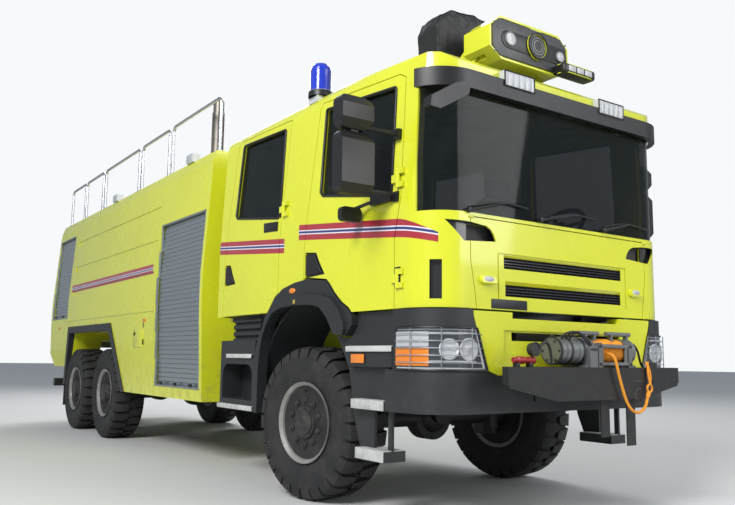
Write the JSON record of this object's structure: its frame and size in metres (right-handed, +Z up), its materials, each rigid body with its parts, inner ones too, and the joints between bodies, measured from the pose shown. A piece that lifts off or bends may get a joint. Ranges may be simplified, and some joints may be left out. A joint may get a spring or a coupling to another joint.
{
  "type": "six-wheel airport fire truck",
  "caption": "Airport fire truck with a four-door cab, closed water-tank body, roof monitor, front winch and lugged tyres.",
  "frame": {"origin": "on the ground under the middle of the truck's length and width, cord left out", "axes": "+X the truck's left side, -Y its front, +Z up"},
  "size_m": [3.28, 10.2058, 3.8803],
  "materials": {
    "yellow_paint": "gloss",
    "grey_plastic": "moulded, fine grain",
    "black_plastic": "satin",
    "dark_plastic": "grained",
    "black_steel": "satin",
    "dark_steel": "painted",
    "grey_metal": "satin",
    "winch_metal": "satin",
    "bright_steel": "polished",
    "brushed_pipe": "dull, heat-stained",
    "shutter_aluminium": "anodised",
    "rim_silver": "silver paint",
    "tyre": "moulded rubber",
    "glass": "tinted",
    "lamp_plastic": "clear lens on bright reflector",
    "seat_cloth": "woven",
    "black_cloth": "coated cloth",
    "rope": "braided"
  },
  "bodies": {
    "chassis": {"chassis_frame": "black_steel", "axle_beams": "black_steel", "leaf_springs": "dark_steel", "drive_train": "grey_metal", "side_tanks": "grey_metal", "cab_shell": "yellow_paint", "cab_floor": "black_steel", "wheel_humps": "black_steel", "cab_roof": "yellow_paint", "steering_wheel": "dark_plastic", "windscreen": "glass", "cab_seats": "seat_cloth", "dashboard": "dark_plastic", "sun_visor": "black_plastic", "lamp_housings": "lamp_plastic", "front_bumper": "grey_plastic", "bumper_centre": "yellow_paint", "front_fenders": "grey_plastic", "cab_steps": "grey_plastic", "body_shell": "yellow_paint", "roller_shutters": "shutter_aluminium", "roof_rails": "bright_steel", "arch_trims": "grey_plastic", "exhaust_stack": "brushed_pipe", "winch_frame": "black_steel", "winch": "winch_metal", "winch_rope": "rope", "winch_hook": "rope", "turret_base": "grey_metal"},
    "front_hatch": {"front_panel": "yellow_paint"},
    "turret_pan": {"turret_swivel": "yellow_paint", "turret_cover": "black_cloth"},
    "turret_tilt": {"turret_head": "yellow_paint"},
    "front_door_left": {"door_front_left": "yellow_paint", "glass_front_left": "glass", "mirror_left": "black_plastic"},
    "front_door_right": {"door_front_right": "yellow_paint", "glass_front_right": "glass", "mirror_right": "black_plastic"},
    "rear_door_left": {"door_rear_left": "yellow_paint", "glass_rear_left": "glass"},
    "rear_door_right": {"door_rear_right": "yellow_paint", "glass_rear_right": "glass"},
    "steer_left": {"knuckle_left": "dark_steel"},
    "steer_right": {"knuckle_right": "dark_steel"},
    "wheel_front_left": {"tyre_front_left": "tyre", "rim_front_left": "rim_silver"},
    "wheel_front_right": {"tyre_front_right": "tyre", "rim_front_right": "rim_silver"},
    "wheel_middle_left": {"tyre_middle_left": "tyre", "rim_middle_left": "rim_silver"},
    "wheel_middle_right": {"tyre_middle_right": "tyre", "rim_middle_right": "rim_silver"},
    "wheel_rear_left": {"tyre_rear_left": "tyre", "rim_rear_left": "rim_silver"},
    "wheel_rear_right": {"tyre_rear_right": "tyre", "rim_rear_right": "rim_silver"}
  },
  "joints": [
    {"name": "steer_left", "type": "hinge", "parent": "chassis", "child": "steer_left", "pos_m": [0.8, -3.2, 0.576], "axis": [0, 0, 1], "range_deg": [-39.5, 24.5]},
    {"name": "steer_right", "type": "hinge", "parent": "chassis", "child": "steer_right", "pos_m": [-0.8, -3.2, 0.576], "axis": [0, 0, 1], "range_deg": [-39.5, 24.5]},
    {"name": "front_wheel_left", "type": "hinge", "parent": "steer_left", "child": "wheel_front_left", "pos_m": [1.04092, -3.16828, 0.576], "axis": [0.9914, 0.1305, 0], "continuous": true},
    {"name": "front_wheel_right", "type": "hinge", "parent": "steer_right", "child": "wheel_front_right", "pos_m": [-1.04092, -3.23172, 0.576], "axis": [0.9914, 0.1305, 0], "continuous": true},
    {"name": "middle_wheel_left", "type": "hinge", "parent": "chassis", "child": "wheel_middle_left", "pos_m": [1.043, 1.913, 0.576], "axis": [1, 0, 0], "continuous": true},
    {"name": "middle_wheel_right", "type": "hinge", "parent": "chassis", "child": "wheel_middle_right", "pos_m": [-1.043, 1.913, 0.576], "axis": [1, 0, 0], "continuous": true},
    {"name": "rear_wheel_left", "type": "hinge", "parent": "chassis", "child": "wheel_rear_left", "pos_m": [1.043, 3.366, 0.576], "axis": [1, 0, 0], "continuous": true},
    {"name": "rear_wheel_right", "type": "hinge", "parent": "chassis", "child": "wheel_rear_right", "pos_m": [-1.043, 3.366, 0.576], "axis": [1, 0, 0], "continuous": true},
    {"name": "front_door_left", "type": "hinge", "parent": "chassis", "child": "front_door_left", "pos_m": [1.222, -4.435, 2], "axis": [0, 0, -1], "range_deg": [0, 75]},
    {"name": "front_door_right", "type": "hinge", "parent": "chassis", "child": "front_door_right", "pos_m": [-1.222, -4.435, 2], "axis": [0, 0, 1], "range_deg": [0, 75]},
    {"name": "rear_door_left", "type": "hinge", "parent": "chassis", "child": "rear_door_left", "pos_m": [1.222, -2.862, 2], "axis": [0, 0, -1], "range_deg": [0, 75]},
    {"name": "rear_door_right", "type": "hinge", "parent": "chassis", "child": "rear_door_right", "pos_m": [-1.222, -2.862, 2], "axis": [0, 0, 1], "range_deg": [0, 75]},
    {"name": "front_hatch", "type": "hinge", "parent": "chassis", "child": "front_hatch", "pos_m": [0, -4.8, 1.98], "axis": [-1, 0, 0], "range_deg": [0, 70]},
    {"name": "turret_pan", "type": "hinge", "parent": "chassis", "child": "turret_pan", "pos_m": [0, -4, 3.2], "axis": [0, 0, 1], "range_deg": [-165, 165]},
    {"name": "turret_tilt", "type": "hinge", "parent": "turret_pan", "child": "turret_tilt", "pos_m": [0, -4.32, 3.47], "axis": [-1, 0, 0], "range_deg": [-15, 70]}
  ],
  "couplings": [
    {"joint": "steer_right", "follows": "steer_left", "ratio": 1}
  ]
}
